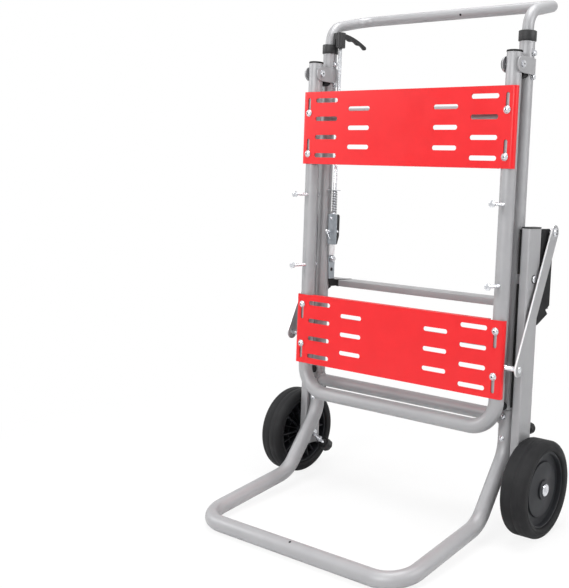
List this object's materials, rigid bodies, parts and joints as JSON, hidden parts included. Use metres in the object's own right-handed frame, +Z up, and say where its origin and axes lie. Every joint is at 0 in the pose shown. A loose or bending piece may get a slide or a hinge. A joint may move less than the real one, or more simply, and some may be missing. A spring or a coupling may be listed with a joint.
{
  "type": "folding saw stand",
  "caption": "Folding tubular stand for a table saw that folds upright into a hand truck with wheels, a toe loop, a handle and slotted clamping panels.",
  "frame": {"origin": "centre of the bounding box at floor level, with the stand folded upright", "axes": "+Z up, +X to the right seen from the toe loop's side, -Y towards the toe loop; the legs lean back by 4.115 degrees"},
  "size_m": [0.7086, 0.5919, 1.0919],
  "materials": {
    "tube_silver": "satin silver grey",
    "panel_red": "semi-gloss red",
    "black_plastic": "satin black",
    "rubber_black": "matt black",
    "tyre_black": "matt black",
    "hub_grey": "satin dark grey",
    "zinc": "bright zinc"
  },
  "bodies": {
    "frame": {"leg_left": "tube_silver", "leg_right": "tube_silver", "toe_loop": "tube_silver", "handle_tube": "tube_silver", "upper_crossbar": "tube_silver", "lower_crossbar": "tube_silver", "collar_left": "black_plastic", "collar_right": "black_plastic", "hinge_bracket_left": "tube_silver", "hinge_bracket_right": "tube_silver", "hinge_pin_left": "zinc", "hinge_pin_right": "zinc", "hinge_washer_left": "black_plastic", "hinge_washer_right": "black_plastic", "bumper_left": "rubber_black", "bumper_right": "rubber_black", "pivot_bolt_left": "zinc", "pivot_bolt_right": "zinc", "lock_housing": "zinc", "rod_guide": "zinc", "lock_spring": "zinc", "trigger_head": "black_plastic"},
    "table": {"table_frame": "tube_silver", "table_cap_left": "black_plastic", "table_cap_right": "black_plastic", "saw_bolt_left_1": "zinc", "saw_bolt_left_2": "zinc", "saw_bolt_right_1": "zinc", "saw_bolt_right_2": "zinc", "strut_stud_left": "zinc", "strut_stud_right": "zinc"},
    "upper_panel": {"panel_upper": "panel_red"},
    "lower_panel": {"panel_lower": "panel_red"},
    "wheel_frame": {"wheel_arm_left": "tube_silver", "wheel_arm_right": "tube_silver", "arm_cap_left": "black_plastic", "arm_cap_right": "black_plastic", "tray_left": "tube_silver", "tray_right": "tube_silver", "beam": "tube_silver", "stay": "tube_silver", "lock_plate": "zinc", "pad_left": "rubber_black", "pad_right": "rubber_black", "axle_left": "zinc", "axle_right": "zinc"},
    "left_wheel": {"tyre_left": "tyre_black", "hub_left": "hub_grey"},
    "right_wheel": {"tyre_right": "tyre_black", "hub_right": "hub_grey"},
    "left_strut": {"strut_left": "tube_silver"},
    "right_strut": {"strut_right": "tube_silver"},
    "lock_rod": {"trigger_rod": "zinc"},
    "trigger": {"trigger_lever": "black_plastic"},
    "left_foot": {"foot_left": "black_plastic"},
    "right_foot": {"foot_right": "black_plastic"}
  },
  "joints": [
    {"name": "table_fold", "type": "hinge", "parent": "frame", "child": "table", "pos_m": [0, 0.10157, 0.94898], "axis": [-1, 0, 0], "range_deg": [0, 31.5]},
    {"name": "wheel_frame_fold", "type": "hinge", "parent": "frame", "child": "wheel_frame", "pos_m": [0, 0.12727, 0.52304], "axis": [1, 0, 0], "range_deg": [0, 97]},
    {"name": "left_strut_swing", "type": "hinge", "parent": "table", "child": "left_strut", "pos_m": [-0.3038, 0.05851, 0.35053], "axis": [-1, 0, 0], "range_deg": [0, 6.5]},
    {"name": "right_strut_swing", "type": "hinge", "parent": "table", "child": "right_strut", "pos_m": [0.3038, 0.05851, 0.35053], "axis": [-1, 0, 0], "range_deg": [0, 6.5]},
    {"name": "upper_panel_slide", "type": "slide", "parent": "table", "child": "upper_panel", "axis": [0, -0.0718, -0.9974], "range_m": [0, 0.029]},
    {"name": "lower_panel_slide", "type": "slide", "parent": "table", "child": "lower_panel", "axis": [0, 0.0718, 0.9974], "range_m": [0, 0.029]},
    {"name": "left_wheel_spin", "type": "hinge", "parent": "wheel_frame", "child": "left_wheel", "pos_m": [-0.3256, 0.09684, 0.1], "axis": [1, 0, 0], "continuous": true},
    {"name": "right_wheel_spin", "type": "hinge", "parent": "wheel_frame", "child": "right_wheel", "pos_m": [0.3256, 0.09684, 0.1], "axis": [1, 0, 0], "continuous": true},
    {"name": "lock_rod_lift", "type": "slide", "parent": "frame", "child": "lock_rod", "axis": [0, 0.0718, 0.9974], "range_m": [0, 0.008], "stiffness_N_per_m": 900, "springref_m": -0.012, "deforming": ["lock_spring"]},
    {"name": "trigger_pull", "type": "hinge", "parent": "frame", "child": "trigger", "pos_m": [-0.2275, 0.15959, 1.03504], "axis": [1, 0, 0], "range_deg": [0, 12]},
    {"name": "left_foot_screw", "type": "slide", "parent": "frame", "child": "left_foot", "axis": [0, 0.7617, -0.648], "range_m": [-0.01, 0.01]},
    {"name": "right_foot_screw", "type": "slide", "parent": "frame", "child": "right_foot", "axis": [0, 0.7617, -0.648], "range_m": [-0.01, 0.01]}
  ],
  "couplings": [
    {"joint": "wheel_frame_fold", "follows": "table_fold", "ratio": 3.079},
    {"joint": "left_strut_swing", "follows": "table_fold", "ratio": 0.205},
    {"joint": "right_strut_swing", "follows": "table_fold", "ratio": 0.205},
    {"joint": "trigger_pull", "follows": "lock_rod_lift", "rad_per_m": 26.1}
  ]
}
